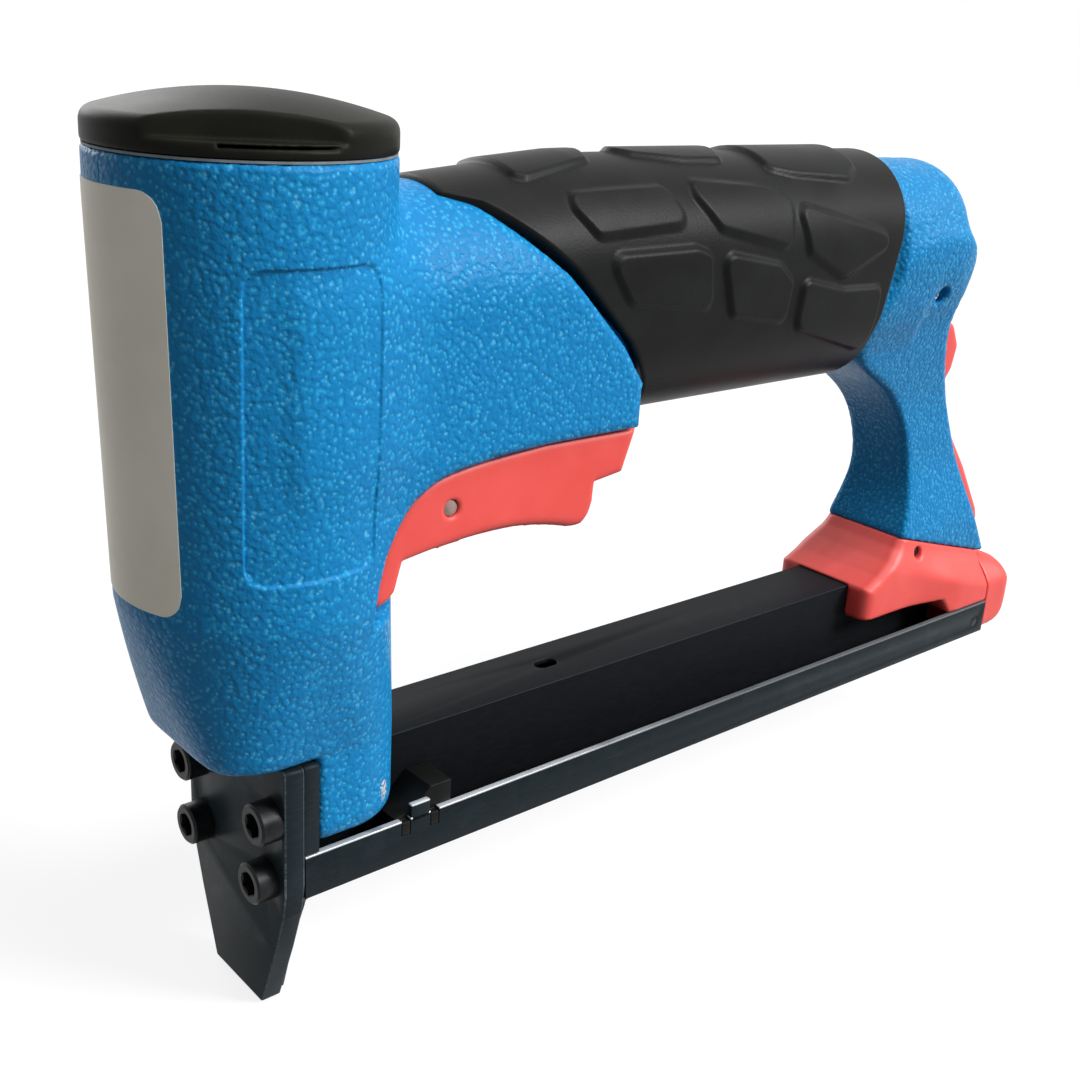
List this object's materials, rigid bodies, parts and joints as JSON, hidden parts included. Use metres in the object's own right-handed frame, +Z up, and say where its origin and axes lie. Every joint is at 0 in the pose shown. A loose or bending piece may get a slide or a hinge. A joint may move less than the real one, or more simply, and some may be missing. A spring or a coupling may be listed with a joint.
{
  "type": "pneumatic upholstery stapler",
  "caption": "Hand-held air stapler with a cast body, rubber grip, wide trigger, tapered nose, bottom-loading staple magazine, rear rocker latch and threaded air inlet.",
  "frame": {"origin": "middle of the staple exit at the nose tip, in the driver blade's plane", "axes": "+X back along the magazine, +Y across the tool, +Z up along the driver"},
  "size_m": [0.2393, 0.046, 0.1552],
  "materials": {
    "blue_casting": "hammered enamel",
    "black_plastic": "satin",
    "grip_rubber": "moulded satin",
    "red_plastic": "satin moulded",
    "black_steel": "blackened",
    "black_magazine": "satin black",
    "bright_steel": "ground",
    "light_alloy": "turned",
    "brass": "turned",
    "seal_rubber": "smooth",
    "bumper_rubber": "amber",
    "pale_plastic": "turned",
    "spring_steel": "drawn wire"
  },
  "bodies": {
    "frame": {"body": "blue_casting", "head_cap": "black_plastic", "cap_seal": "seal_rubber", "grip_sleeve": "grip_rubber", "rear_bracket": "red_plastic", "bracket_pin": "bright_steel", "cylinder_sleeve": "light_alloy", "sleeve_seals": "seal_rubber", "bumper": "bumper_rubber", "head_valve_spring": "spring_steel", "trigger_pin": "bright_steel", "valve_bush": "brass", "valve_cap": "brass", "valve_spring": "spring_steel", "bush_seals": "seal_rubber", "nose_plate": "black_steel", "driver_guide": "black_steel", "nose_screws": "black_steel", "fixed_magazine": "black_magazine", "latch_pin": "bright_steel", "latch_spring": "spring_steel", "inlet_bush": "light_alloy", "inlet_pin": "bright_steel"},
    "piston": {"piston": "light_alloy", "piston_ring": "seal_rubber", "driver_blade": "bright_steel"},
    "head_valve": {"head_valve": "pale_plastic", "head_valve_seal": "seal_rubber"},
    "trigger": {"trigger": "red_plastic"},
    "valve": {"valve_stem": "brass", "stem_seal": "seal_rubber"},
    "rail": {"slide_rail": "black_steel", "inner_rail": "bright_steel", "rail_guides": "black_plastic", "pusher_rod": "bright_steel", "pusher_spring": "spring_steel", "tail_cap": "red_plastic", "tail_rivet": "bright_steel"},
    "pusher": {"pusher": "black_steel"},
    "latch": {"latch_lever": "red_plastic"}
  },
  "joints": [
    {"name": "piston_drive", "type": "slide", "parent": "frame", "child": "piston", "axis": [0, 0, -1], "range_m": [0, 0.045]},
    {"name": "head_valve_lift", "type": "slide", "parent": "frame", "child": "head_valve", "axis": [0, 0, 1], "range_m": [0, 0.003], "stiffness_N_per_m": 1500, "springref_m": -0.003, "deforming": ["head_valve_spring"]},
    {"name": "trigger_pull", "type": "hinge", "parent": "frame", "child": "trigger", "pos_m": [0.0282, 0, 0.0902], "axis": [0, -1, 0], "range_deg": [0, 6]},
    {"name": "valve_stroke", "type": "slide", "parent": "frame", "child": "valve", "axis": [0, 0, 1], "range_m": [0, 0.00228], "stiffness_N_per_m": 600, "springref_m": -0.005, "deforming": ["valve_spring"]},
    {"name": "rail_slide", "type": "slide", "parent": "frame", "child": "rail", "axis": [1, 0, 0], "range_m": [0, 0.12]},
    {"name": "pusher_slide", "type": "slide", "parent": "rail", "child": "pusher", "axis": [1, 0, 0], "range_m": [0, 0.13], "stiffness_N_per_m": 30, "springref_m": -0.15, "deforming": ["pusher_spring"]},
    {"name": "latch_rock", "type": "hinge", "parent": "frame", "child": "latch", "pos_m": [0.182, 0, 0.079], "axis": [0, -1, 0], "range_deg": [0, 8], "stiffness_Nm_per_rad": 0.5, "springref_deg": -8.59, "deforming": ["latch_spring"]}
  ],
  "couplings": [
    {"joint": "trigger_pull", "follows": "valve_stroke", "rad_per_m": 45.872}
  ]
}
